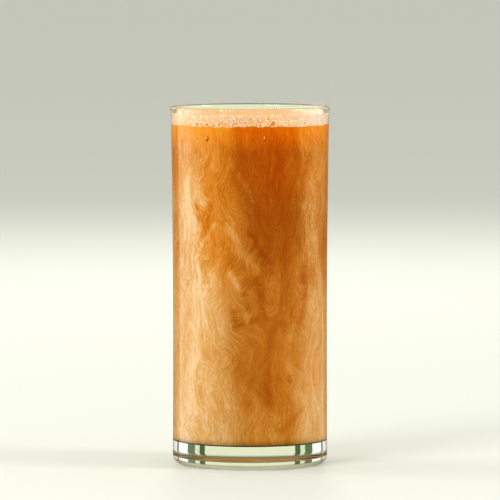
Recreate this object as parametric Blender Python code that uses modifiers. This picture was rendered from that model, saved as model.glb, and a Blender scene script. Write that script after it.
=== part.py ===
"""A shakerato: milky iced coffee with a frothy head, in the tall straight glass that holds it.

The origin is on the axis, at the level that the glass stands on. +Z is up. Lengths are in metres.
"""

import math
import random

import bmesh
import bpy
from mathutils import Euler, Vector

# The glass, outside
GLASS_HEIGHT = 0.150
BASE_RADIUS = 0.0324
WAIST_RADIUS = 0.0322
WAIST_HEIGHT = 0.050
MOUTH_RADIUS = 0.0331
HEEL_RADIUS = 0.0042
FOOT_INNER_RADIUS = 0.0264
PUNT_HEIGHT = 0.0012

# The glass, inside
WALL_AT_MOUTH = 0.0018
WALL_AT_FLOOR = 0.0023
FLOOR_HEIGHT = 0.0098
FLOOR_FILLET = 0.0032
LIP_RADIUS = 0.0010
LIP_OVERHANG = 0.0002
LIP_BLEND = 0.0026

# The drink and its head
FREE_DEPTH = 0.0030
FOAM_DEPTH = 0.0045
FOAM_CLIMB = 0.0004
CLIMB_WIDTH = 0.0016
CLEARANCE = 0.0003

# The bubbles that stand out of the head
BUBBLE_COUNT = 64
BUBBLE_SMALLEST = 0.0008
BUBBLE_LARGEST = 0.0017
BUBBLE_SUNK = 0.45
BUBBLE_SPACING = 1.1
BUBBLE_DETAIL = 2
BUBBLE_SEED = 11

# Fineness of the turned shapes
TURN_STEPS = 80
WALL_STEPS = 5
LIP_STEPS = 6
CORNER_STEPS = 5
PUNT_STEPS = 5
MERGE_DISTANCE = 0.00001


def outer_radius(z):
    """The outside of the wall at height z: a faint waist, and a gentle flare to the mouth."""
    if z < WAIST_HEIGHT:
        share = (WAIST_HEIGHT - z) / WAIST_HEIGHT
        return WAIST_RADIUS + (BASE_RADIUS - WAIST_RADIUS) * share**2
    share = (z - WAIST_HEIGHT) / (GLASS_HEIGHT - WAIST_HEIGHT)
    return WAIST_RADIUS + (MOUTH_RADIUS - WAIST_RADIUS) * share**2


def inner_radius(z):
    """The inside of the wall at height z: the wall thins evenly from the floor to the mouth."""
    share = (z - FLOOR_HEIGHT) / (GLASS_HEIGHT - FLOOR_HEIGHT)
    return outer_radius(z) - WALL_AT_FLOOR - (WALL_AT_MOUTH - WALL_AT_FLOOR) * share


def arc(centre_r, centre_z, radius, start_deg, end_deg, steps):
    """Points (r, z) along an arc, with both of its ends."""
    points = []
    for i in range(steps + 1):
        angle = math.radians(start_deg + (end_deg - start_deg) * i / steps)
        point = (centre_r + radius * math.cos(angle), centre_z + radius * math.sin(angle))
        points.append(point)
    return points


def wall(radius_at, start_z, end_z, inset=0.0):
    """Points (r, z) along a wall that follows radius_at, without its two ends."""
    points = []
    for i in range(1, WALL_STEPS):
        z = start_z + (end_z - start_z) * i / WALL_STEPS
        points.append((radius_at(z) - inset, z))
    return points


def cavity_corner(inset=0.0):
    """The rounded corner between the cavity's floor and its wall, from the floor up."""
    centre_z = FLOOR_HEIGHT + FLOOR_FILLET
    centre_r = inner_radius(centre_z) - FLOOR_FILLET
    return arc(centre_r, centre_z, FLOOR_FILLET - inset, -90, 0, CORNER_STEPS)


def punt():
    """The hollow under the base, from the foot ring to its middle."""
    points = []
    for i in range(1, PUNT_STEPS + 1):
        share = 1 - i / PUNT_STEPS
        z = PUNT_HEIGHT * 0.5 * (1 + math.cos(math.pi * share))
        points.append((FOOT_INNER_RADIUS * share, z))
    return points


def glass_profile():
    """Half of the glass in section, from the middle of the cavity's floor, over the lip, to the punt."""
    lip_z = GLASS_HEIGHT - LIP_RADIUS
    lip_r = MOUTH_RADIUS + LIP_OVERHANG - LIP_RADIUS
    blend_z = lip_z - LIP_BLEND
    corner = cavity_corner()
    inside = wall(inner_radius, corner[-1][1], blend_z) + [(inner_radius(blend_z), blend_z)]
    lip = arc(lip_r, lip_z, LIP_RADIUS, 180, 0, LIP_STEPS)
    outside = [(outer_radius(blend_z), blend_z)] + wall(outer_radius, blend_z, HEEL_RADIUS)
    heel = arc(outer_radius(HEEL_RADIUS) - HEEL_RADIUS, HEEL_RADIUS, HEEL_RADIUS, 0, -90, CORNER_STEPS)
    foot = [(FOOT_INNER_RADIUS, 0.0)]
    return [(0.0, FLOOR_HEIGHT)] + corner + inside + lip + outside + heel + foot + punt()


def coffee_profile():
    """Half of the coffee in section, from the middle of its top, down its side, to its underside."""
    top_z = GLASS_HEIGHT - FREE_DEPTH - FOAM_DEPTH - CLEARANCE
    corner = cavity_corner(CLEARANCE)[::-1]
    side = [(inner_radius(top_z) - CLEARANCE, top_z)]
    side += wall(inner_radius, top_z, corner[0][1], CLEARANCE)
    return [(0.0, top_z)] + side + corner + [(0.0, FLOOR_HEIGHT + CLEARANCE)]


def foam_profile():
    """Half of the head in section: a flat disc whose edge climbs the wall a little."""
    top_z = GLASS_HEIGHT - FREE_DEPTH
    bottom_z = top_z - FOAM_DEPTH
    edge_r = inner_radius(top_z) - CLEARANCE
    climb = [(edge_r - CLIMB_WIDTH, top_z), (edge_r - CLIMB_WIDTH / 3, top_z + FOAM_CLIMB / 3)]
    side = [(edge_r, top_z + FOAM_CLIMB), (inner_radius(bottom_z) - CLEARANCE, bottom_z)]
    return [(0.0, top_z)] + climb + side + [(0.0, bottom_z)]


def make_material(name, colour, roughness, transmission=0.0):
    """A plain finish for one part."""
    material = bpy.data.materials.new(name)
    material.use_nodes = True
    shader = material.node_tree.nodes["Principled BSDF"]
    shader.inputs["Base Color"].default_value = (*colour, 1.0)
    shader.inputs["Roughness"].default_value = roughness
    shader.inputs["Metallic"].default_value = 0.0
    shader.inputs["Transmission Weight"].default_value = transmission
    return material


def make_turned(name, profile, material, collection):
    """A solid turned about Z from a profile that runs down its outer side."""
    mesh = bpy.data.meshes.new(name)
    edges = [(i, i + 1) for i in range(len(profile) - 1)]
    mesh.from_pydata([(r, 0.0, z) for r, z in profile], edges, [])
    mesh.materials.append(material)
    turned = bpy.data.objects.new(name, mesh)
    collection.objects.link(turned)
    screw = turned.modifiers.new("Turn", "SCREW")
    screw.axis = "Z"
    screw.angle = math.tau
    screw.steps = TURN_STEPS
    screw.render_steps = TURN_STEPS
    screw.use_merge_vertices = True
    screw.merge_threshold = MERGE_DISTANCE
    screw.use_smooth_shade = True
    return turned


def bubble_places():
    """Where the bubbles sit on the head, and how large each is: the largest first, none of them crowded."""
    chance = random.Random(BUBBLE_SEED)
    reach = inner_radius(GLASS_HEIGHT - FREE_DEPTH) - CLEARANCE
    places = []
    for i in range(BUBBLE_COUNT):
        share = 1 - i / (BUBBLE_COUNT - 1)
        radius = BUBBLE_SMALLEST + (BUBBLE_LARGEST - BUBBLE_SMALLEST) * share**3
        centre = None
        while centre is None:
            distance = (reach - radius - CLIMB_WIDTH / 2) * math.sqrt(chance.random())
            angle = chance.uniform(0, math.tau)
            found = Vector((distance * math.cos(angle), distance * math.sin(angle)))
            if all((found - p).length > BUBBLE_SPACING * (radius + r) for p, r in places):
                centre = found
        places.append((centre, radius))
    return places


def make_bubble(centre, radius, turn, collection):
    """One bubble, its centre sunk a little below the top of the head, so that a low dome shows."""
    bubble = bpy.data.objects.new("bubble", bpy.data.meshes.new("bubble"))
    shape = bmesh.new()
    bmesh.ops.create_icosphere(shape, subdivisions=BUBBLE_DETAIL, radius=radius)
    shape.to_mesh(bubble.data)
    shape.free()
    bubble.location = (centre.x, centre.y, GLASS_HEIGHT - FREE_DEPTH - BUBBLE_SUNK * radius)
    bubble.rotation_euler = turn
    collection.objects.link(bubble)


def make_foam(material, collection, bubbles):
    """The head: a turned disc, with the bubbles joined to it."""
    foam = make_turned("foam", foam_profile(), material, collection)
    chance = random.Random(BUBBLE_SEED)
    for centre, radius in bubble_places():
        turn = Euler([chance.uniform(0, math.tau) for _ in range(3)])
        make_bubble(centre, radius, turn, bubbles)
    join = foam.modifiers.new("Join bubbles", "BOOLEAN")
    join.operation = "UNION"
    join.operand_type = "COLLECTION"
    join.collection = bubbles
    join.solver = "EXACT"
    bpy.context.view_layer.update()
    graph = bpy.context.evaluated_depsgraph_get()
    joined = bpy.data.meshes.new_from_object(foam.evaluated_get(graph))
    foam.modifiers.clear()
    foam.data = joined
    for bubble in list(bubbles.objects):
        bpy.data.objects.remove(bubble)
    return foam


def clear_scene():
    for old in list(bpy.data.objects):
        bpy.data.objects.remove(old)


def make_collection(name):
    collection = bpy.data.collections.new(name)
    bpy.context.scene.collection.children.link(collection)
    return collection


def main():
    clear_scene()
    drink = make_collection("shakerato")
    bubbles = make_collection("bubbles")
    clear_glass = make_material("clear glass", (0.93, 0.96, 0.93), 0.02, transmission=1.0)
    milky_coffee = make_material("milky coffee", (0.62, 0.27, 0.06), 0.35)
    pale_froth = make_material("pale froth", (0.87, 0.60, 0.36), 0.60)
    make_turned("glass", glass_profile(), clear_glass, drink)
    make_turned("coffee", coffee_profile(), milky_coffee, drink)
    make_foam(pale_froth, drink, bubbles)
    bpy.data.collections.remove(bubbles)


main()
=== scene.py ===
"""Looks of the shakerato: clear glass, marbled milky coffee and a frothy head.

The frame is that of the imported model: origin on the axis at the foot, +Z up. Lengths are in metres,
unless a comment says that they are in millimetres. Angles round the axis are in degrees, 0 to the
camera and 90 to its right. Colours are sRGB numbers of 0 to 255, unless a comment says linear.
"""

import math
import random

import bmesh
import bpy
import numpy as np
from mathutils import Matrix, Vector


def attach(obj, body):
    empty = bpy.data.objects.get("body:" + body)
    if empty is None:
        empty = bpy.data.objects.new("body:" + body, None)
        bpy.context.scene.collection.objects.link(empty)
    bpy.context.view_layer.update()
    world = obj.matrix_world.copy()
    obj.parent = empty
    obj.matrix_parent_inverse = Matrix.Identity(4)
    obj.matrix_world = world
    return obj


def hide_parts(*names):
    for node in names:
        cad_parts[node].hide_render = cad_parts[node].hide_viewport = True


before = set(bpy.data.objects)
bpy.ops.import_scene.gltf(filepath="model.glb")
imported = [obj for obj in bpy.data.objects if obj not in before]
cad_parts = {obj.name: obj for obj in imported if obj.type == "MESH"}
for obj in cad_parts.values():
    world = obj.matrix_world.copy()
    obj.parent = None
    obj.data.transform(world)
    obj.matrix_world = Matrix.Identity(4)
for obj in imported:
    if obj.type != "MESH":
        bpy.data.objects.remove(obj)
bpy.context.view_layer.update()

# Millimetres in a metre
MM = 1000

# The glass, as in the solids
GLASS_HEIGHT = 0.150
BASE_RADIUS = 0.0324
WAIST_RADIUS = 0.0322
WAIST_HEIGHT = 0.050
MOUTH_RADIUS = 0.0331
HEEL_RADIUS = 0.0042
FOOT_INNER_RADIUS = 0.0264
PUNT_HEIGHT = 0.0012
WALL_AT_MOUTH = 0.0018
WALL_AT_FLOOR = 0.0023
FLOOR_HEIGHT = 0.0098
FLOOR_FILLET = 0.0032
LIP_RADIUS = 0.0010
LIP_OVERHANG = 0.0002
LIP_BLEND = 0.0026

# The drink and its head, as in the solids
FREE_DEPTH = 0.0030
FOAM_DEPTH = 0.0045
FOAM_CLIMB = 0.0004
CLIMB_WIDTH = 0.0016
CLEARANCE = 0.0003

# The bubbles that stand out of the head, as in the solids
BUBBLE_COUNT = 64
BUBBLE_SMALLEST = 0.0008
BUBBLE_LARGEST = 0.0017
BUBBLE_SUNK = 0.45
BUBBLE_SPACING = 1.1
BUBBLE_SEED = 11

# How finely the shapes are turned: steps round the axis, then rows or rings along the profile
GLASS_STEPS = 256
WALL_ROWS = 24
LIP_ROWS = 24
CORNER_ROWS = 12
HEEL_ROWS = 14
PUNT_RINGS = 24
FLOOR_RINGS = 6
COFFEE_STEPS = 348
COFFEE_ROWS = 232
COFFEE_RINGS = 8
FOAM_STEPS = 720
FOAM_ROWS = 24
FOAM_RINGS = 88
BALL_DETAIL = 4
# How near two heights, and two radii, count as the same
SAME_HEIGHT = 1e-6
SAME_RADIUS = 1e-5

# How far the drink reaches into the wall and into the head, and the head further into the wall
INTO_WALL = 0.0001
COFFEE_UNDER_FOAM = 0.0004
FOAM_PROUD = 0.00003

# The glass. The colours are linear.
GLASS_TINT = (0.985, 0.995, 0.985)
GLASS_SHADOW_TINT = (0.93, 0.95, 0.93)
GLASS_IOR = 1.5

# The stirring of the drink. Lengths along its side are in millimetres.
SIDE_RADIUS = 31.0
SWIRL_SEED = 5
# Scattered swirls: count, smallest and largest size, turn at most
SMALL_SWIRLS = (90, 1.5, 3.2, 55)
MIDDLE_SWIRLS = (46, 3.5, 6.5, 48)
LARGE_SWIRLS = (26, 7.0, 13.0, 26)
# The heights of their centres, and the least share of that turn
SWIRL_LOWEST = 8
SWIRL_HIGHEST = 145
SWIRL_LEAST_TURN = 0.4
# Swirls placed one by one: angle, height, size, turn
PLACED_SWIRLS = [
    (-36, 86, 3.0, 80),
    (-4, 72, 3.4, -110),
    (6, 90, 4.0, 60),
    (-33, 105, 2.6, 80),
    (14, 66, 3.0, 90),
    (-12, 62, 2.8, 100),
    (46, 76, 4.0, -60),
    (31, 40, 3.0, -120),
]
# Wisps placed one by one: milkiness, width, then the points (angle, height) that they pass
WISPS = [
    (
        0.22,
        2.4,
        [
            (-54, 122),
            (-53, 99),
            (-51, 90),
            (-46, 82),
            (-42, 74),
            (-41, 64),
            (-46, 48),
            (-54, 30),
            (-56, 12),
        ],
    ),
    (-0.20, 3.0, [(-76, 135), (-74, 80), (-78, 20)]),
    (0.26, 0.7, [(-28, 102), (-38, 95), (-46, 88), (-43, 82)]),
    (-0.10, 1.6, [(-40, 96), (-43, 89), (-38, 80), (-33, 72), (-32, 60)]),
    (-0.26, 1.2, [(-31, 110), (-34, 104), (-34, 99)]),
    (-0.22, 1.0, [(-45, 109), (-42, 104)]),
    (-0.14, 5.0, [(-26, 116), (-30, 100), (-24, 90)]),
    (0.22, 1.8, [(-16, 101), (-8, 92), (4, 84)]),
    (-0.20, 0.7, [(0, 98), (8, 91), (17, 86)]),
    (-0.07, 2.0, [(10, 88), (18, 82)]),
    (-0.08, 6.0, [(26, 126), (24, 96)]),
    (0.16, 3.0, [(50, 117), (56, 102), (50, 90), (40, 84)]),
    (0.10, 3.0, [(58, 96), (66, 80), (62, 60)]),
    (0.24, 1.0, [(-15, 82), (-9, 76), (-4, 69), (-2, 61)]),
    (-0.24, 1.0, [(-6, 73), (-2, 67)]),
    (-0.22, 1.0, [(-13, 66), (-11, 60), (-2, 61), (5, 63)]),
    (-0.18, 1.2, [(7, 77), (11, 62)]),
    (-0.18, 1.8, [(20, 60), (13, 42), (15, 28)]),
    (0.18, 1.4, [(34, 60), (30, 50), (31, 42)]),
    (-0.30, 0.6, [(30, 39.5), (32, 37.5)]),
    (-0.20, 1.2, [(46, 84), (47, 72), (43, 62)]),
    (0.10, 3.0, [(-30, 76), (-27, 62)]),
    (-0.14, 3.5, [(-3, 40), (12, 32)]),
    (-0.18, 0.8, [(45, 25), (32, 20), (20, 17)]),
    (0.12, 2.5, [(26, 46), (38, 32)]),
    (0.16, 0.8, [(-9, 123), (-2, 117), (2, 112)]),
]
# Milkiness above this limit counts for this share only, so that the palest milk keeps its streaks
MILK_LIMIT = 0.78
MILK_OVER_LIMIT = 0.45
# The wisps and the noises are weaker low in the drink: their strength there, how much it gains
# higher up, and the heights where it does
WISP_STRENGTH = 0.55
WISP_GAIN = 0.30
WISP_RISE = (45, 80)
NOISE_STRENGTH = 0.62
NOISE_GAIN = 0.38
NOISE_RISE = (50, 105)
# The share of the height that counts in the two noise spaces, which draws the noises out upwards.
# Then the noises: scale, detail, roughness and distortion.
STIRRED_STRETCH = 0.10
DRIFTED_STRETCH = 0.28
HAZE_NOISE = (0.22, 7.0, 0.62, 0.4)
FINE_NOISE = (1.0, 6.0, 0.70, 1.6)
GRAIN_NOISE = (0.8, 5.0, 0.7, 0.9)
STREAK_NOISE = (1.5, 4.0, 0.6, 0.8)
THREAD_NOISE = (0.36, 6.0, 0.64, 1.4)
HAZE_CONTRAST = 0.58
FINE_CONTRAST = 0.30
GRAIN_CONTRAST = 0.34
THREAD_CONTRAST = 0.17
STREAK_CONTRAST = 0.20
THREAD_SHARPNESS = 34.0
STREAK_START = 0.57
STREAK_SHARPNESS = 7.0

# The drink's colour by its milkiness, then with painted light under the head and on its left
COFFEE_STOPS = (
    (0.0, (150, 56, 1)),
    (0.2, (169, 76, 5)),
    (0.4, (178, 94, 12)),
    (0.6, (206, 130, 36)),
    (0.8, (230, 173, 94)),
    (1.0, (250, 225, 180)),
)
PAINTED_GLOW_STOPS = (
    (0.0, (204, 82, 0)),
    (0.2, (218, 96, 0)),
    (0.4, (236, 124, 6)),
    (0.6, (246, 154, 30)),
    (0.8, (245, 172, 66)),
    (1.0, (250, 210, 150)),
)
# Painted light: its underside, near white, as if lit from below; painted shade: its foot's dark line
UNDERSIDE_PAINTED_LIGHT = (250, 242, 226)
EDGE_PAINTED_SHADE = (66, 34, 10)
# The heights above the base, in millimetres, over which that line fades
EDGE_FADE = (0.3, 0.7)

# Bubbles pressed flat against the wall, under the head: angle, then height, width and length in
# millimetres
WALL_BUBBLES = [
    (-34, 137.6, 1.9, 2.9),
    (11, 137.8, 1.5, 2.6),
    (70, 135.6, 1.2, 2.2),
    (-62, 136.6, 1.2, 2.0),
]
WALL_BUBBLE_DEPTH = 0.0008
WALL_BUBBLE_INSET = 0.0002
# Painted shade on each bubble, from its dark lower right to its lighter upper left, then its painted
# glint
WALL_BUBBLE_SHADE_STOPS = (
    (0.0, (210, 100, 8)),
    (0.3, (166, 64, 0)),
    (0.62, (208, 108, 12)),
    (1.0, (238, 158, 56)),
)
WALL_BUBBLE_GLINT = (255, 230, 164)
# The glint's place and size, as shares of the bubble's half width and half height
GLINT_PLACE = (-0.12, 0.15)
GLINT_SIZE = (0.3, 0.5)

# The head's fine bubbles, how far its lower edge wanders, and how far inwards
SMALL_BUBBLES = 2600
SMALL_BUBBLE_RADII = (0.0003, 0.0009)
SMALL_BUBBLE_SUNK = (0.2, 0.6)
SIDE_BUBBLES = 220
FOAM_WAVE = 0.00045
WAVE_BAND = 0.002
# The larger bubbles at its side: angle, then height above its lower edge and radius in millimetres
EDGE_BUBBLES = [
    (-50, 0.8, 0.70),
    (-43, 0.9, 0.95),
    (-34, 0.9, 0.85),
    (-28, 0.7, 0.70),
    (-24, 0.8, 0.60),
    (-12, 1.3, 0.55),
    (17.5, 1.4, 1.30),
    (-3.5, 1.8, 0.55),
    (7.5, 0.8, 0.60),
    (45, 1.5, 0.75),
    (52, 0.8, 0.55),
    (0.5, 3.1, 0.65),
    (14, 3.3, 0.60),
    (6, 2.5, 0.50),
    (60, 1.4, 0.60),
    (-61, 0.9, 0.60),
]
# Froth cells of two sizes, coloured by the distance from each cell's middle
SMALL_CELL = 0.0009
LARGE_CELL = 0.0016
SMALL_CELL_STOPS = (
    (0.0, (228, 134, 54)),
    (0.3, (252, 190, 120)),
    (0.6, (255, 221, 178)),
    (0.9, (255, 240, 214)),
)
LARGE_CELL_STOPS = (
    (0.0, (226, 112, 10)),
    (0.22, (246, 160, 60)),
    (0.44, (255, 234, 184)),
    (0.8, (250, 182, 92)),
)
# The film of a bubble, from its rim to its middle. The pale rim is partly a painted highlight.
FILM_STOPS = (
    (0.0, (255, 236, 206)),
    (0.36, (253, 218, 168)),
    (0.56, (230, 134, 34)),
    (1.0, (238, 150, 54)),
)
FILM_SHARPNESS = 9.0
# Painted light: paler at the ends of the head, and paler froth up its side. Painted shade on its top.
FROTH_PALE = (255, 244, 230)
FROTH_SHADE = (212, 150, 82)

# A drop that clings inside the glass above the head, painted pale as a glint. Its colour is linear.
DROPLET_ANGLE = 115.5
DROPLET_HEIGHT = 0.1486
DROPLET_SIZE = (0.0012, 0.0009, 0.0011)
DROPLET_COLOUR = (0.92, 0.86, 0.78)

# The floor, its colour linear
FLOOR_HALF = 40.0
FLOOR_COLOUR = (0.66, 0.67, 0.60)

# What is seen through the glass, by the angle from straight behind it: each colour with its
# brightness holds until the next
BEHIND = [
    (0.0, (225, 230, 195), 1.0),
    (24.7, (69, 90, 42), 1.0),
    (29.4, (215, 222, 190), 1.0),
    (33.2, (84, 106, 54), 1.0),
    (41.5, (255, 255, 250), 1.1),
    (58.0, (60, 80, 40), 1.0),
    (62.0, (255, 255, 250), 1.1),
    (100.0, (190, 192, 180), 0.9),
]
# What the glass mirrors on its left and on its right, by the same angle: the colour changes evenly
# from each stop to the next
MIRRORED_LEFT = [
    (0.0, (140, 118, 88), 1.0),
    (47.0, (110, 95, 72), 1.0),
    (51.0, (240, 250, 240), 0.95),
    (76.0, (240, 250, 240), 0.95),
    (104.0, (60, 60, 56), 1.0),
]
MIRRORED_RIGHT = [
    (0.0, (140, 118, 88), 1.0),
    (40.0, (96, 86, 64), 1.0),
    (56.0, (130, 124, 112), 1.0),
    (92.0, (120, 118, 108), 1.0),
    (110.0, (50, 50, 46), 1.0),
]
SKY = 1.1
# What is seen upwards and downwards through the glass, the ceiling that the glass mirrors, and the
# light from all round. A range is where a colour sets in, as the height of a direction of length 1.
UPWARD = (120, 118, 96)
UPWARD_RANGE = (0.10, 0.30)
DOWNWARD = (128, 124, 98)
DOWNWARD_RANGE = (-0.25, -0.55)
CEILING = (84, 82, 72)
CEILING_RANGE = (0.35, 0.60)
AMBIENT = (232, 233, 228)

# Lamps: name, angle, negative to the left, angle above the table, power and size
LAMPS = [
    ("lamp_left", -38, 29, 11.2, 0.6),
    ("lamp_side_left", -104, 20, 8.5, 0.6),
    ("lamp_right", 74, 22, 11.5, 0.6),
    ("lamp_behind", 180, 34, 7.0, 0.2),
]
LAMP_DISTANCE = 1.6

# A narrow panel that only the glass mirrors, low on its right, by the angle from straight behind
# it. Its colour is linear.
STRIP_ANGLE = 39.5
STRIP_DISTANCE = 2.0
STRIP_WIDTH = 0.16
STRIP_TOP = -0.09
STRIP_HEIGHT = 0.5
STRIP_COLOUR = (0.85, 1.0, 0.98)
STRIP_STRENGTH = 0.55

# The light that the table sends up into the base
GLOW_BELOW_RADIUS = 0.026
GLOW_BELOW_HEIGHT = 0.00005
GLOW_BELOW_CORNERS = 64
GLOW_BELOW_COLOUR = (222, 232, 200)

# The camera: far off, a little above the rim, looking along +Y
CAMERA_DISTANCE = 2.2
CAMERA_HEIGHT = 0.2345
AIM_HEIGHT = 0.0897
LENS = 379.1
SENSOR_WIDTH = 36.0
CLIP_START = 0.05
CLIP_END = 50.0


def outer_radius(z):
    if z < WAIST_HEIGHT:
        share = (WAIST_HEIGHT - z) / WAIST_HEIGHT
        return WAIST_RADIUS + (BASE_RADIUS - WAIST_RADIUS) * share**2
    share = (z - WAIST_HEIGHT) / (GLASS_HEIGHT - WAIST_HEIGHT)
    return WAIST_RADIUS + (MOUTH_RADIUS - WAIST_RADIUS) * share**2


def inner_radius(z):
    share = (z - FLOOR_HEIGHT) / (GLASS_HEIGHT - FLOOR_HEIGHT)
    return outer_radius(z) - WALL_AT_FLOOR - (WALL_AT_MOUTH - WALL_AT_FLOOR) * share


def arc(centre_r, centre_z, radius, start_deg, end_deg, steps):
    """Points (r, z) along an arc, with both of its ends."""
    points = []
    for i in range(steps + 1):
        angle = math.radians(start_deg + (end_deg - start_deg) * i / steps)
        points.append((centre_r + radius * math.cos(angle), centre_z + radius * math.sin(angle)))
    return points


def wall(radius_at, start_z, end_z, steps, inset=0.0):
    """Points (r, z) along a wall that follows radius_at, without its two ends."""
    points = []
    for i in range(1, steps):
        z = start_z + (end_z - start_z) * i / steps
        points.append((radius_at(z) - inset, z))
    return points


def cavity_corner(inset=0.0):
    """The rounded corner between the cavity's floor and its wall, from the floor up."""
    centre_z = FLOOR_HEIGHT + FLOOR_FILLET
    centre_r = inner_radius(centre_z) - FLOOR_FILLET
    return arc(centre_r, centre_z, FLOOR_FILLET - inset, -90, 0, CORNER_ROWS)


def spread(start_r, end_r, z, steps):
    """Points (r, z) along a flat disc or ring, without its two ends."""
    return [(start_r + (end_r - start_r) * i / steps, z) for i in range(1, steps)]


def new_object(name, data):
    made = bpy.data.objects.new(name, data)
    bpy.context.scene.collection.objects.link(made)
    return made


def turned(name, profile, steps, material):
    """A piece turned about Z from a profile (r, z), with one vertex where that is on the axis."""
    angles = np.linspace(0, 2 * math.pi, steps, endpoint=False) - math.pi / 2
    vertices = []
    rings = []
    for r, z in profile:
        if r == 0.0:
            rings.append([len(vertices)] * steps)
            vertices.append((0.0, 0.0, z))
        else:
            rings.append(list(range(len(vertices), len(vertices) + steps)))
            vertices.extend((r * math.cos(a), r * math.sin(a), z) for a in angles)
    faces = []
    for low, high in zip(rings, rings[1:]):
        for i in range(steps):
            j = (i + 1) % steps
            corners = [low[i], high[i], high[j], low[j]]
            faces.append([c for n, c in enumerate(corners) if c not in corners[:n]])
    mesh = bpy.data.meshes.new(name)
    mesh.from_pydata(vertices, [], faces)
    mesh.validate()
    mesh.shade_smooth()
    mesh.materials.append(material)
    piece = new_object(name, mesh)
    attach(piece, "root")
    return piece


def read_points(mesh):
    flat = np.empty(len(mesh.vertices) * 3)
    mesh.vertices.foreach_get("co", flat)
    return flat.reshape(-1, 3)


def store(mesh, name, values):
    """Keeps a number or a vector for each point, for the materials to read."""
    kind, field = ("FLOAT_VECTOR", "vector") if values.ndim == 2 else ("FLOAT", "value")
    kept = mesh.attributes.new(name, kind, "POINT")
    kept.data.foreach_set(field, values.astype(np.float32).ravel())


def smooth(value, start, end):
    """Rises smoothly from 0 at start to 1 at end."""
    share = np.clip((value - start) / (end - start), 0, 1)
    return share * share * (3 - 2 * share)


def linear(colour):
    """An sRGB colour of 0 to 255 as the linear numbers that the nodes take."""
    shares = [c / 255 for c in colour]
    return [c / 12.92 if c <= 0.04045 else ((c + 0.055) / 1.055) ** 2.4 for c in shares]


def new_material(name):
    material = bpy.data.materials.new(name)
    material.use_nodes = True
    return material, material.node_tree.nodes, material.node_tree.links


def plain_material(name, colour, roughness):
    material, nodes, _ = new_material(name)
    shader = nodes["Principled BSDF"]
    shader.inputs["Base Color"].default_value = (*colour, 1)
    shader.inputs["Roughness"].default_value = roughness
    return material


def light_material(name, colour, strength):
    material, nodes, links = new_material(name)
    emission = nodes.new("ShaderNodeEmission")
    emission.inputs["Color"].default_value = (*colour, 1)
    emission.inputs["Strength"].default_value = strength
    links.new(emission.outputs[0], nodes["Material Output"].inputs["Surface"])
    return material


def attribute(nodes, name, output="Fac"):
    node = nodes.new("ShaderNodeAttribute")
    node.attribute_name = name
    return node.outputs[output]


def noise_node(nodes, links, vector, settings):
    """A noise from its scale, detail, roughness and distortion."""
    node = nodes.new("ShaderNodeTexNoise")
    links.new(vector, node.inputs["Vector"])
    for socket, value in zip(("Scale", "Detail", "Roughness", "Distortion"), settings):
        node.inputs[socket].default_value = value
    return node.outputs["Fac"]


def maths(nodes, links, operation, a, b=None, clamp=False):
    """A maths node. Its two inputs are numbers or the outputs of other nodes."""
    node = nodes.new("ShaderNodeMath")
    node.operation = operation
    node.use_clamp = clamp
    for socket, value in zip(node.inputs, (a, b)):
        if value is None:
            continue
        if isinstance(value, (int, float)):
            socket.default_value = value
        else:
            links.new(value, socket)
    return node.outputs[0]


def scaled(nodes, links, value, start, factor, clamp=False):
    """How far a value is past its start, times a factor."""
    past = maths(nodes, links, "SUBTRACT", value, start)
    return maths(nodes, links, "MULTIPLY", past, factor, clamp)


def between(nodes, links, value, start, end):
    """Rises smoothly from 0 at start to 1 at end."""
    node = nodes.new("ShaderNodeMapRange")
    node.interpolation_type = "SMOOTHSTEP"
    links.new(value, node.inputs["Value"])
    node.inputs["From Min"].default_value = start
    node.inputs["From Max"].default_value = end
    return node.outputs["Result"]


def linear_ramp(nodes, links, value, stops, interpolation):
    """A colour ramp through (position, linear colour) stops."""
    node = nodes.new("ShaderNodeValToRGB")
    node.color_ramp.interpolation = interpolation
    links.new(value, node.inputs[0])
    points = node.color_ramp.elements
    while len(points) < len(stops):
        points.new(0.5)
    for point, (position, colour) in zip(points, stops):
        point.position = position
        point.color = (*colour, 1)
    return node.outputs["Color"]


def ramp(nodes, links, value, stops):
    """A colour ramp through (position, sRGB colour) stops."""
    stops = [(position, linear(colour)) for position, colour in stops]
    return linear_ramp(nodes, links, value, stops, "LINEAR")


def ramp_around(nodes, links, share, stops, interpolation):
    """A ramp round the glass through (angle, colour, brightness) stops."""
    placed = []
    for angle, colour, brightness in stops:
        placed.append((angle / 180, [c * brightness for c in linear(colour)]))
    return linear_ramp(nodes, links, share, placed, interpolation)


def mix_colours(nodes, links, share, low, high):
    """From low to high by a share. Each is the output of a node or a plain value."""
    mix = nodes.new("ShaderNodeMix")
    mix.data_type = "RGBA"
    mix.clamp_factor = True
    for socket, value in (("Factor", share), ("A", low), ("B", high)):
        if isinstance(value, tuple):
            mix.inputs[socket].default_value = (*linear(value), 1)
        else:
            links.new(value, mix.inputs[socket])
    return mix.outputs["Result"]


def glass_material():
    """Clear glass that lets the lamps through to the drink."""
    material, nodes, links = new_material("clear glass")
    shader = nodes["Principled BSDF"]
    shader.inputs["Base Color"].default_value = (*GLASS_TINT, 1)
    shader.inputs["Roughness"].default_value = 0.0
    shader.inputs["IOR"].default_value = GLASS_IOR
    shader.inputs["Transmission Weight"].default_value = 1.0
    clear = nodes.new("ShaderNodeBsdfTransparent")
    clear.inputs["Color"].default_value = (*GLASS_SHADOW_TINT, 1)
    path = nodes.new("ShaderNodeLightPath")
    mix = nodes.new("ShaderNodeMixShader")
    links.new(path.outputs["Is Shadow Ray"], mix.inputs[0])
    links.new(shader.outputs[0], mix.inputs[1])
    links.new(clear.outputs[0], mix.inputs[2])
    links.new(mix.outputs[0], nodes["Material Output"].inputs["Surface"])
    return material


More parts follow.
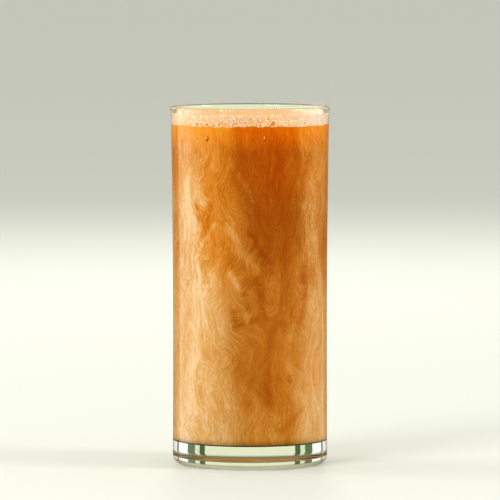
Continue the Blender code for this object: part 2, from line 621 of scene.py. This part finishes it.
def glass_profile():
    """Half of the glass in section, from the cavity's floor, over the lip, to the hollow below."""
    lip_z = GLASS_HEIGHT - LIP_RADIUS
    lip_r = MOUTH_RADIUS + LIP_OVERHANG - LIP_RADIUS
    blend_z = lip_z - LIP_BLEND
    corner = cavity_corner()
    floor = [(0.0, FLOOR_HEIGHT)] + spread(0.0, corner[0][0], FLOOR_HEIGHT, FLOOR_RINGS)
    inside = wall(inner_radius, corner[-1][1], blend_z, WALL_ROWS)
    inside.append((inner_radius(blend_z), blend_z))
    lip = arc(lip_r, lip_z, LIP_RADIUS, 180, 0, LIP_ROWS)
    outside = [(outer_radius(blend_z), blend_z)]
    outside += wall(outer_radius, blend_z, HEEL_RADIUS, WALL_ROWS)
    heel = arc(outer_radius(HEEL_RADIUS) - HEEL_RADIUS, HEEL_RADIUS, HEEL_RADIUS, 0, -90, HEEL_ROWS)
    foot = [(FOOT_INNER_RADIUS, 0.0)]
    punt = []
    for i in range(1, PUNT_RINGS + 1):
        share = 1 - i / PUNT_RINGS
        z = PUNT_HEIGHT * 0.5 * (1 + math.cos(math.pi * share))
        punt.append((FOOT_INNER_RADIUS * share, z))
    return floor + corner + inside + lip + outside + heel + foot + punt


def make_glass():
    glass = turned("glass_clear", glass_profile(), GLASS_STEPS, glass_material())
    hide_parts("glass")


def along_side(degrees):
    """The distance along the drink's side, in millimetres, of an angle round the axis."""
    return math.radians(degrees) * SIDE_RADIUS


def twist(s, z, centre_s, centre_z, size, turn):
    """Turns the points round a centre, less and less away from it, as a stick stirs marbling."""
    round_trip = 2 * math.pi * SIDE_RADIUS
    ds = (s - centre_s + round_trip / 2) % round_trip - round_trip / 2
    dz = z - centre_z
    angle = turn * np.exp(-(ds**2 + dz**2) / (2 * size**2))
    cosine, sine = np.cos(angle), np.sin(angle)
    return s - ds + cosine * ds - sine * dz, z - dz + sine * ds + cosine * dz


def placed_twists(s, z):
    for angle, height, size, turn in PLACED_SWIRLS:
        s, z = twist(s, z, along_side(angle), height, size, math.radians(turn))
    return s, z


def scattered_twists(s, z, chance, count, smallest, largest, turn_most):
    round_trip = 2 * math.pi * SIDE_RADIUS
    for _ in range(count):
        centre_s = chance.uniform(0, round_trip)
        centre_z = chance.uniform(SWIRL_LOWEST, SWIRL_HIGHEST)
        size = chance.uniform(smallest, largest)
        way = chance.choice((-1, 1))
        turn = math.radians(way * chance.uniform(SWIRL_LEAST_TURN, 1.0) * turn_most)
        s, z = twist(s, z, centre_s, centre_z, size, turn)
    return s, z


def milk_wisps(s, z):
    """The sum of the placed wisps at each point."""
    total = np.zeros_like(s)
    for strength, width, points in WISPS:
        path = [(along_side(angle), height) for angle, height in points]
        nearest = np.full_like(s, np.inf)
        for (s0, z0), (s1, z1) in zip(path, path[1:]):
            length = (s1 - s0) ** 2 + (z1 - z0) ** 2
            share = np.clip(((s - s0) * (s1 - s0) + (z - z0) * (z1 - z0)) / length, 0, 1)
            aside = s - s0 - share * (s1 - s0)
            upward = z - z0 - share * (z1 - z0)
            nearest = np.minimum(nearest, aside**2 + upward**2)
        total += strength * np.exp(-nearest / (2 * width**2))
    return total


def milk_and_side_light(degrees, z):
    """How milky the drink is: more towards the bottom and at the sides, where it is partly painted
    light.

    Every range in degrees or in millimetres of height is where its share sets in.
    """
    middle = 0.45 - 0.19 * smooth(z, 60, 120)
    # low in the middle, then a pale patch right of it, then a dark one near the top
    middle += 0.08 * (1 - smooth(z, 20, 50)) * (1 - smooth(-degrees, 15, 45))
    middle += 0.08 * (1 - smooth(np.abs(degrees - 13), 6, 18)) * (1 - smooth(z, 80, 100))
    middle -= 0.16 * (1 - smooth(np.abs(degrees + 8), 3, 12)) * smooth(z, 110, 124)
    # the left is palest between its front and its side: partly milk, partly painted light
    shoulder = 0.26 + 0.10 * smooth(z, 92, 112)
    left = shoulder * smooth(-degrees, -10, 24) + 0.08 * smooth(-degrees, 26, 50)
    pale_side = smooth(-degrees, 12, 34) * (1 - smooth(-degrees, 80, 150))
    left += 0.13 * pale_side * (1 - smooth(z, 106, 126))
    left -= 0.02 * smooth(-degrees, 100, 180)
    # the right is paler, partly painted light, and a little darker above the middle
    dip = 0.10 * (smooth(z, 66, 84) - smooth(z, 96, 110)) * (1 - smooth(degrees, 110, 170))
    right = (0.32 - dip) * smooth(degrees, 22, 58)
    # painted light: the back is paler low down, where it is seen through the base
    bottom = 0.12 * smooth(np.abs(degrees), 90, 140) * (1 - smooth(z, 12, 50))
    back = 0.18 * smooth(np.abs(degrees), 105, 145)
    return middle + left + right + bottom - back


def painted_glow(degrees, z):
    """Painted light: the drink painted brighter and more golden under the head and on its left."""
    left = 0.4 * smooth(-degrees, -4, 22) * (1 - smooth(-degrees, 30, 50)) * smooth(z, 60, 92)
    under_head = np.maximum(smooth(z, 128, 141.5), 0.25 * smooth(z, 106, 124))
    return np.maximum(under_head, left)


def coffee_material():
    """The drink: its milkiness, partly painted light, with noises over it, then painted light and
    shade.
    """
    material, nodes, links = new_material("marbled coffee")
    shader = nodes["Principled BSDF"]
    stirred = attribute(nodes, "stirred", "Vector")
    drifted = attribute(nodes, "drifted", "Vector")
    haze = noise_node(nodes, links, drifted, HAZE_NOISE)
    haze = scaled(nodes, links, haze, 0.5, HAZE_CONTRAST)
    fine = noise_node(nodes, links, stirred, FINE_NOISE)
    fine = scaled(nodes, links, fine, 0.5, FINE_CONTRAST)
    grain = noise_node(nodes, links, drifted, GRAIN_NOISE)
    grain = scaled(nodes, links, grain, 0.5, GRAIN_CONTRAST)
    # a thread of milk runs wherever this noise passes its middle value
    threads = noise_node(nodes, links, drifted, THREAD_NOISE)
    off_middle = maths(nodes, links, "ABSOLUTE", maths(nodes, links, "SUBTRACT", threads, 0.5))
    off_middle = maths(nodes, links, "MULTIPLY", off_middle, THREAD_SHARPNESS)
    thread = maths(nodes, links, "SUBTRACT", 1.0, off_middle, True)
    thread = maths(nodes, links, "MULTIPLY", thread, THREAD_CONTRAST)
    # a thin orange streak runs wherever this noise is high
    streaks = noise_node(nodes, links, stirred, STREAK_NOISE)
    streak = scaled(nodes, links, streaks, STREAK_START, STREAK_SHARPNESS, True)
    streak = maths(nodes, links, "MULTIPLY", streak, STREAK_CONTRAST)
    broad = maths(nodes, links, "ADD", haze, fine)
    narrow = maths(nodes, links, "ADD", grain, maths(nodes, links, "SUBTRACT", thread, streak))
    amount = maths(nodes, links, "ADD", broad, narrow)
    amount = maths(nodes, links, "MULTIPLY", amount, attribute(nodes, "contrast"))
    amount = maths(nodes, links, "ADD", amount, attribute(nodes, "milk_and_light"), True)
    low = ramp(nodes, links, amount, COFFEE_STOPS)
    high = ramp(nodes, links, amount, PAINTED_GLOW_STOPS)
    # painted light: brighter and more golden under the head and on the left
    colour = mix_colours(nodes, links, attribute(nodes, "painted_glow"), low, high)
    # painted light: the underside near white; painted shade: the dark line at the foot
    colour = mix_colours(nodes, links, attribute(nodes, "painted_light_below"), colour, UNDERSIDE_PAINTED_LIGHT)
    colour = mix_colours(nodes, links, attribute(nodes, "painted_edge_shade"), colour, EDGE_PAINTED_SHADE)
    links.new(colour, shader.inputs["Base Color"])
    shader.inputs["Roughness"].default_value = 0.5
    shader.inputs["Specular IOR Level"].default_value = 0.0
    return material


def coffee_profile():
    """Half of the drink in section, from the middle of its top, down its side, to its underside."""
    top_z = GLASS_HEIGHT - FREE_DEPTH - FOAM_DEPTH
    bottom_z = FLOOR_HEIGHT - INTO_WALL
    corner = cavity_corner(-INTO_WALL)[::-1]
    side = [(inner_radius(top_z) + INTO_WALL, top_z + COFFEE_UNDER_FOAM)]
    side += wall(inner_radius, top_z, corner[0][1], COFFEE_ROWS, -INTO_WALL)
    bottom = spread(corner[-1][0], 0.0, bottom_z, COFFEE_RINGS) + [(0.0, bottom_z)]
    return [(0.0, top_z + COFFEE_UNDER_FOAM)] + side + corner + bottom


def make_coffee():
    profile = coffee_profile()[::-1]
    coffee = turned("coffee_marbled", profile, COFFEE_STEPS, coffee_material())
    mesh = coffee.data
    x, y, z = read_points(mesh).T
    z = z * MM
    angle = np.arctan2(x, -y)
    degrees = np.degrees(angle)
    chance = np.random.default_rng(SWIRL_SEED)
    s1, z1 = scattered_twists(angle * SIDE_RADIUS, z, chance, *SMALL_SWIRLS)
    # the back, which the photo does not show, repeats the wisps of the front
    half = math.pi * SIDE_RADIUS
    wisps = milk_wisps(s1, z1) + milk_wisps(np.where(s1 > 0, s1 - half, s1 + half), z1)
    # the milkiness at the sides is partly painted light
    milk_and_light = milk_and_side_light(degrees, z) + (WISP_STRENGTH + WISP_GAIN * smooth(z, *WISP_RISE)) * wisps
    milk_and_light = np.where(milk_and_light > MILK_LIMIT, MILK_LIMIT + MILK_OVER_LIMIT * (milk_and_light - MILK_LIMIT), milk_and_light)
    s1, z1 = placed_twists(s1, z1)
    s1, z1 = scattered_twists(s1, z1, chance, *MIDDLE_SWIRLS)
    s1, z1 = scattered_twists(s1, z1, chance, *LARGE_SWIRLS)
    turn = s1 / SIDE_RADIUS
    around = (SIDE_RADIUS * np.sin(turn), -SIDE_RADIUS * np.cos(turn))
    floor = FLOOR_HEIGHT * MM
    underside = z < floor
    # painted light: the underside is as milky as can be, then painted near white
    milk_and_light[underside] = 1.0
    store(mesh, "stirred", np.stack((*around, z1 * STIRRED_STRETCH), axis=1))
    store(mesh, "drifted", np.stack((*around, z1 * DRIFTED_STRETCH), axis=1))
    store(mesh, "milk_and_light", milk_and_light)
    # painted light: the golden glow under the head and on the left
    store(mesh, "painted_glow", painted_glow(degrees, z))
    store(mesh, "contrast", NOISE_STRENGTH + NOISE_GAIN * smooth(z, *NOISE_RISE))
    # painted shade: the dark line at the foot; painted light: the pale underside
    store(mesh, "painted_edge_shade", np.where(underside, 0.0, 1 - smooth(z - floor, *EDGE_FADE)))
    store(mesh, "painted_light_below", underside.astype(float))
    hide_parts("coffee")


def at_wall(angle, distance, height, size):
    """Takes a ball 1 across to this size (along the wall, into it, upwards) and to its place."""
    turn = Matrix.Rotation(math.radians(angle), 4, "Z")
    place = turn @ Matrix.Translation((0, -distance, height))
    return place @ Matrix.Diagonal((*size, 1))


def wall_bubble_material():
    """Coffee through a bubble: painted shade to the lower right, a painted glint in the middle."""
    material, nodes, links = new_material("bubble at the wall")
    shader = nodes["Principled BSDF"]
    colour = ramp(nodes, links, attribute(nodes, "painted_shading"), WALL_BUBBLE_SHADE_STOPS)
    colour = mix_colours(nodes, links, attribute(nodes, "shine"), colour, WALL_BUBBLE_GLINT)
    links.new(colour, shader.inputs["Base Color"])
    shader.inputs["Roughness"].default_value = 0.4
    shader.inputs["Specular IOR Level"].default_value = 0.0
    return material


def make_wall_bubbles():
    """The bubbles under the head that the wall flattens."""
    vertices = []
    faces = []
    painted_shading = []
    shine = []
    for angle, height, width, length in WALL_BUBBLES:
        ball = bmesh.new()
        bmesh.ops.create_icosphere(ball, subdivisions=BALL_DETAIL, radius=0.5)
        for vert in ball.verts:
            x, z = vert.co.x * 2, vert.co.z * 2
            # painted shade: darker to the lower right, lighter to the upper left; then a painted
            # glint
            painted_shading.append(0.5 + 0.35 * (z - x))
            glint_x = (x - GLINT_PLACE[0]) / GLINT_SIZE[0]
            glint_z = (z - GLINT_PLACE[1]) / GLINT_SIZE[1]
            shine.append(1 - smooth(math.hypot(glint_x, glint_z), 0.5, 1.0))
        distance = inner_radius(height / MM) + INTO_WALL - WALL_BUBBLE_INSET
        size = (width / MM, WALL_BUBBLE_DEPTH, length / MM)
        ball.transform(at_wall(angle, distance, height / MM, size))
        faces += [[len(vertices) + v.index for v in face.verts] for face in ball.faces]
        vertices += [tuple(v.co) for v in ball.verts]
        ball.free()
    mesh = bpy.data.meshes.new("wall_bubbles")
    mesh.from_pydata(vertices, [], faces)
    mesh.shade_smooth()
    store(mesh, "painted_shading", np.array(painted_shading))
    store(mesh, "shine", np.array(shine))
    mesh.materials.append(wall_bubble_material())
    bubbles = new_object("wall_bubbles", mesh)
    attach(bubbles, "root")


def bubble_places():
    """Where the largest bubbles sit on the head: centre and radius, as in the solids."""
    chance = random.Random(BUBBLE_SEED)
    reach = inner_radius(GLASS_HEIGHT - FREE_DEPTH) - CLEARANCE
    places = []
    for i in range(BUBBLE_COUNT):
        share = 1 - i / (BUBBLE_COUNT - 1)
        radius = BUBBLE_SMALLEST + (BUBBLE_LARGEST - BUBBLE_SMALLEST) * share**3
        centre = None
        while centre is None:
            distance = (reach - radius - CLIMB_WIDTH / 2) * math.sqrt(chance.random())
            angle = chance.uniform(0, math.tau)
            found = Vector((distance * math.cos(angle), distance * math.sin(angle)))
            if all((found - p).length > BUBBLE_SPACING * (radius + r) for p, r in places):
                centre = found
        places.append((centre, radius))
    return places


def top_bubbles():
    """Every bubble on top of the head: x, y, radius, and the share of it that is sunk."""
    bubbles = [(centre.x, centre.y, radius, BUBBLE_SUNK) for centre, radius in bubble_places()]
    chance = np.random.default_rng(BUBBLE_SEED)
    reach = inner_radius(GLASS_HEIGHT - FREE_DEPTH)
    smallest, largest = SMALL_BUBBLE_RADII
    for _ in range(SMALL_BUBBLES):
        radius = smallest + (largest - smallest) * chance.random() ** 3
        distance = reach * math.sqrt(chance.random())
        angle = chance.uniform(0, math.tau)
        sunk = chance.uniform(*SMALL_BUBBLE_SUNK)
        bubbles.append((distance * math.cos(angle), distance * math.sin(angle), radius, sunk))
    return bubbles


def domes(x, y, bubbles):
    """How high the bubbles stand at each point, and how near it is to a bubble's middle, 0 to 1."""
    height = np.zeros_like(x)
    middle = np.zeros_like(x)
    for centre_x, centre_y, radius, sunk in bubbles:
        squared = (x - centre_x) ** 2 + (y - centre_y) ** 2
        inside = squared < radius**2 * (1 - sunk**2)
        dome = np.sqrt(radius**2 - squared[inside]) - sunk * radius
        height[inside] = np.maximum(height[inside], dome)
        share = 1 - squared[inside] / (radius**2 * (1 - sunk**2))
        middle[inside] = np.maximum(middle[inside], share)
    return height, middle


def side_bubbles(s, above):
    """How near each point of the head's side is to a bubble's middle, 1 there and 0 at its rim.
    Lengths are in millimetres."""
    chance = np.random.default_rng(BUBBLE_SEED + 1)
    bubbles = [(along_side(angle), height, radius) for angle, height, radius in EDGE_BUBBLES]
    for _ in range(SIDE_BUBBLES):
        # the higher up, the smaller and the fewer
        up = chance.random() ** 1.5
        centre_s = chance.uniform(-math.pi, math.pi) * SIDE_RADIUS
        bubbles.append((centre_s, 0.3 + 3.6 * up, 0.5 - 0.3 * up))
    middle = np.zeros_like(s)
    for centre_s, height, radius in bubbles:
        share = 1 - ((s - centre_s) ** 2 + (above - height) ** 2) / radius**2
        middle = np.maximum(middle, share)
    return middle


def edge_wave(angle):
    """How the head's lower edge wanders up and down, in waves of which no two lengths agree."""
    wave = np.sin(5 * angle + 1.0) + 0.8 * np.sin(13 * angle + 2.2) + 0.7 * np.sin(31 * angle + 0.4)
    return FOAM_WAVE * (wave + 0.9 * np.sin(71 * angle) * np.sin(37 * angle + 0.6)) / 3


def froth_cells(nodes, links, place, size, stops):
    """Cells of froth of about this size, coloured by the distance from each cell's middle."""
    cells = nodes.new("ShaderNodeTexVoronoi")
    cells.inputs["Scale"].default_value = 1 / size
    links.new(place, cells.inputs["Vector"])
    return ramp(nodes, links, cells.outputs["Distance"], stops)


def froth_material():
    """Froth: cells, then the films of the larger bubbles, then paler parts, partly painted light, and
    painted shade.
    """
    material, nodes, links = new_material("froth")
    shader = nodes["Principled BSDF"]
    place = nodes.new("ShaderNodeTexCoord").outputs["Object"]
    small = froth_cells(nodes, links, place, SMALL_CELL, SMALL_CELL_STOPS)
    large = froth_cells(nodes, links, place, LARGE_CELL, LARGE_CELL_STOPS)
    colour = mix_colours(nodes, links, attribute(nodes, "coarse"), small, large)
    bubble = attribute(nodes, "bubble")
    film = ramp(nodes, links, bubble, FILM_STOPS)
    covered = maths(nodes, links, "MULTIPLY", bubble, FILM_SHARPNESS, True)
    colour = mix_colours(nodes, links, covered, colour, film)
    # painted light at the ends, paler froth up the side, then painted shade on the top
    colour = mix_colours(nodes, links, attribute(nodes, "pale"), colour, FROTH_PALE)
    colour = mix_colours(nodes, links, attribute(nodes, "shade"), colour, FROTH_SHADE)
    links.new(colour, shader.inputs["Base Color"])
    shader.inputs["Roughness"].default_value = 0.6
    shader.inputs["Specular IOR Level"].default_value = 0.2
    return material


def foam_profile(top_z, bottom_z, proud):
    """Half of the head in section, from the middle of its top, down its side, to its underside."""
    top = [(0.0, top_z)] + spread(0.0, inner_radius(top_z) + proud, top_z, FOAM_RINGS)
    side = []
    for i in range(FOAM_ROWS + 1):
        z = top_z - FOAM_DEPTH * i / FOAM_ROWS
        side.append((inner_radius(z) + proud, z))
    return top + side + [(0.0, bottom_z)]


def make_foam():
    top_z = GLASS_HEIGHT - FREE_DEPTH
    bottom_z = top_z - FOAM_DEPTH
    proud = INTO_WALL + FOAM_PROUD
    edge_r = inner_radius(top_z) + proud
    profile = foam_profile(top_z, bottom_z, proud)
    foam = turned("foam_head", profile[::-1], FOAM_STEPS, froth_material())
    mesh = foam.data
    points = read_points(mesh)
    x, y, z = points.T.copy()
    r = np.hypot(x, y)
    angle = np.arctan2(x, -y)
    degrees = np.degrees(angle)
    is_top = z > top_z - SAME_HEIGHT
    inner = is_top & (r < edge_r - SAME_RADIUS)
    # the top climbs a little at the wall, and the lower edge is wavy
    height, middle = domes(x, y, top_bubbles())
    climb = FOAM_CLIMB * np.clip((r - edge_r + CLIMB_WIDTH) / CLIMB_WIDTH, 0, 1) ** 2
    raised = np.where(inner, height, 0.0) + np.where(is_top, climb, 0.0)
    share_down = np.where(r > edge_r - WAVE_BAND, np.clip((top_z - z) / FOAM_DEPTH, 0, 1), 0.0)
    points[:, 2] = z + raised + edge_wave(angle) * share_down
    mesh.vertices.foreach_set("co", points.ravel())
    above = (z - bottom_z) * MM
    on_side = side_bubbles(angle * SIDE_RADIUS, above)
    # painted light: the two ends of the head, as the camera sees it, are paler; painted shade darkens
    # its top
    ends = smooth(degrees, 20, 70) + 0.6 * smooth(-degrees, 40, 80)
    ends *= 1 - smooth(np.abs(degrees), 130, 175)
    outward = smooth(r * MM, 14, 30)
    store(mesh, "bubble", np.clip(np.where(inner, 0.6 * middle, on_side), 0, 1))
    store(mesh, "coarse", np.where(inner, 0.35, 1 - smooth(above, 0.8, 3.0)))
    store(mesh, "shade", np.where(inner, 0.62 - 0.44 * ends * outward, 0.0))
    # its side is paler at the ends, painted light, and a little paler higher up
    pale_side = 0.6 * ends + 0.06 * smooth(above, 1.5, 4.0)
    store(mesh, "pale", np.where(inner, 0.5 * ends * outward, pale_side))
    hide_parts("foam")


def make_droplet():
    mesh = bpy.data.meshes.new("droplet")
    ball = bmesh.new()
    bmesh.ops.create_icosphere(ball, subdivisions=BALL_DETAIL, radius=0.5)
    distance = inner_radius(DROPLET_HEIGHT)
    ball.transform(at_wall(DROPLET_ANGLE, distance, DROPLET_HEIGHT, DROPLET_SIZE))
    ball.to_mesh(mesh)
    ball.free()
    mesh.shade_smooth()
    # the drop is painted pale, a painted glint
    mesh.materials.append(plain_material("pale drop with painted glint", DROPLET_COLOUR, 0.15))
    drop = new_object("droplet", mesh)
    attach(drop, "root")


def flat_mesh(name, corners, material):
    """A mesh of one flat face."""
    mesh = bpy.data.meshes.new(name)
    mesh.from_pydata(corners, [], [tuple(range(len(corners)))])
    mesh.materials.append(material)
    return mesh


def make_floor():
    half = FLOOR_HALF
    corners = [(-half, -half, 0), (half, -half, 0), (half, half, 0), (-half, half, 0)]
    material = plain_material("floor", FLOOR_COLOUR, 0.9)
    floor = new_object("floor", flat_mesh("floor", corners, material))
    floor.visible_transmission = False
    floor.visible_glossy = False


def make_world():
    """The plain studio all round. It differs for what is seen through the glass, what the glass
    mirrors, and the light."""
    world = bpy.data.worlds.new("studio")
    bpy.context.scene.world = world
    world.use_nodes = True
    nodes, links = world.node_tree.nodes, world.node_tree.links
    background = nodes["Background"]
    place = nodes.new("ShaderNodeTexCoord")
    split = nodes.new("ShaderNodeSeparateXYZ")
    links.new(place.outputs["Generated"], split.inputs[0])
    aside = maths(nodes, links, "ABSOLUTE", split.outputs["X"])
    angle = maths(nodes, links, "ARCTAN2", aside, split.outputs["Y"])
    share = maths(nodes, links, "DIVIDE", angle, math.pi)
    through = ramp_around(nodes, links, share, BEHIND, "CONSTANT")
    left = ramp_around(nodes, links, share, MIRRORED_LEFT, "LINEAR")
    right = ramp_around(nodes, links, share, MIRRORED_RIGHT, "LINEAR")
    is_left = maths(nodes, links, "LESS_THAN", split.outputs["X"], 0.0)
    mirrored = mix_colours(nodes, links, is_left, right, left)
    high = between(nodes, links, split.outputs["Z"], *CEILING_RANGE)
    mirrored = mix_colours(nodes, links, high, mirrored, CEILING)
    up = between(nodes, links, split.outputs["Z"], *UPWARD_RANGE)
    through = mix_colours(nodes, links, up, through, UPWARD)
    down = between(nodes, links, split.outputs["Z"], *DOWNWARD_RANGE)
    through = mix_colours(nodes, links, down, through, DOWNWARD)
    path = nodes.new("ShaderNodeLightPath")
    seen = mix_colours(nodes, links, path.outputs["Is Glossy Ray"], AMBIENT, mirrored)
    seen = mix_colours(nodes, links, path.outputs["Is Transmission Ray"], seen, through)
    links.new(seen, background.inputs["Color"])
    background.inputs["Strength"].default_value = SKY


def make_lamp(name, angle, height, power, size):
    data = bpy.data.lights.new(name, "AREA")
    data.shape = "SQUARE"
    data.size = size
    data.energy = power
    lamp = new_object(name, data)
    aside, up = math.radians(angle), math.radians(height)
    middle = Vector((0, 0, GLASS_HEIGHT / 2))
    flat = math.cos(up)
    direction = Vector((math.sin(aside) * flat, -math.cos(aside) * flat, math.sin(up)))
    lamp.location = middle + LAMP_DISTANCE * direction
    lamp.rotation_euler = (-direction).to_track_quat("-Z", "Y").to_euler()
    # a lamp behind the glass is not mirrored by it nor seen through it
    if lamp.location.y > 0:
        lamp.visible_glossy = False
        lamp.visible_transmission = False


def make_strip():
    half = STRIP_WIDTH / 2
    low = STRIP_TOP - STRIP_HEIGHT
    corners = [(-half, 0, low), (half, 0, low), (half, 0, STRIP_TOP), (-half, 0, STRIP_TOP)]
    material = light_material("strip", STRIP_COLOUR, STRIP_STRENGTH)
    strip = new_object("strip", flat_mesh("strip", corners, material))
    aside = math.radians(STRIP_ANGLE)
    strip.location = (STRIP_DISTANCE * math.sin(aside), STRIP_DISTANCE * math.cos(aside), 0)
    strip.rotation_euler = (0, 0, -aside)
    strip.visible_camera = False
    strip.visible_diffuse = False
    strip.visible_transmission = False
    strip.visible_shadow = False


def make_glow_below():
    """A faint disc under the hollow of the foot, which only the glass shows."""
    corners = []
    for i in range(GLOW_BELOW_CORNERS):
        angle = i * math.tau / GLOW_BELOW_CORNERS
        x, y = GLOW_BELOW_RADIUS * math.cos(angle), GLOW_BELOW_RADIUS * math.sin(angle)
        corners.append((x, y, GLOW_BELOW_HEIGHT))
    material = light_material("light from below", linear(GLOW_BELOW_COLOUR), 1.0)
    disc = new_object("glow_below", flat_mesh("glow_below", corners, material))
    disc.visible_camera = False
    disc.visible_diffuse = False
    disc.visible_shadow = False


def make_light():
    make_world()
    for name, angle, height, power, size in LAMPS:
        make_lamp(name, angle, height, power, size)
    make_strip()
    make_glow_below()


def make_camera():
    data = bpy.data.cameras.new("camera")
    data.lens = LENS
    data.sensor_width = SENSOR_WIDTH
    data.clip_start = CLIP_START
    data.clip_end = CLIP_END
    camera = new_object("camera", data)
    camera.location = (0.0, -CAMERA_DISTANCE, CAMERA_HEIGHT)
    pitch = math.atan2(CAMERA_HEIGHT - AIM_HEIGHT, CAMERA_DISTANCE)
    camera.rotation_euler = (math.pi / 2 - pitch, 0.0, 0.0)
    bpy.context.scene.camera = camera


def main():
    bpy.context.scene.view_settings.view_transform = "Standard"
    make_camera()
    make_glass()
    make_coffee()
    make_wall_bubbles()
    make_foam()
    make_droplet()
    make_floor()
    make_light()


main()
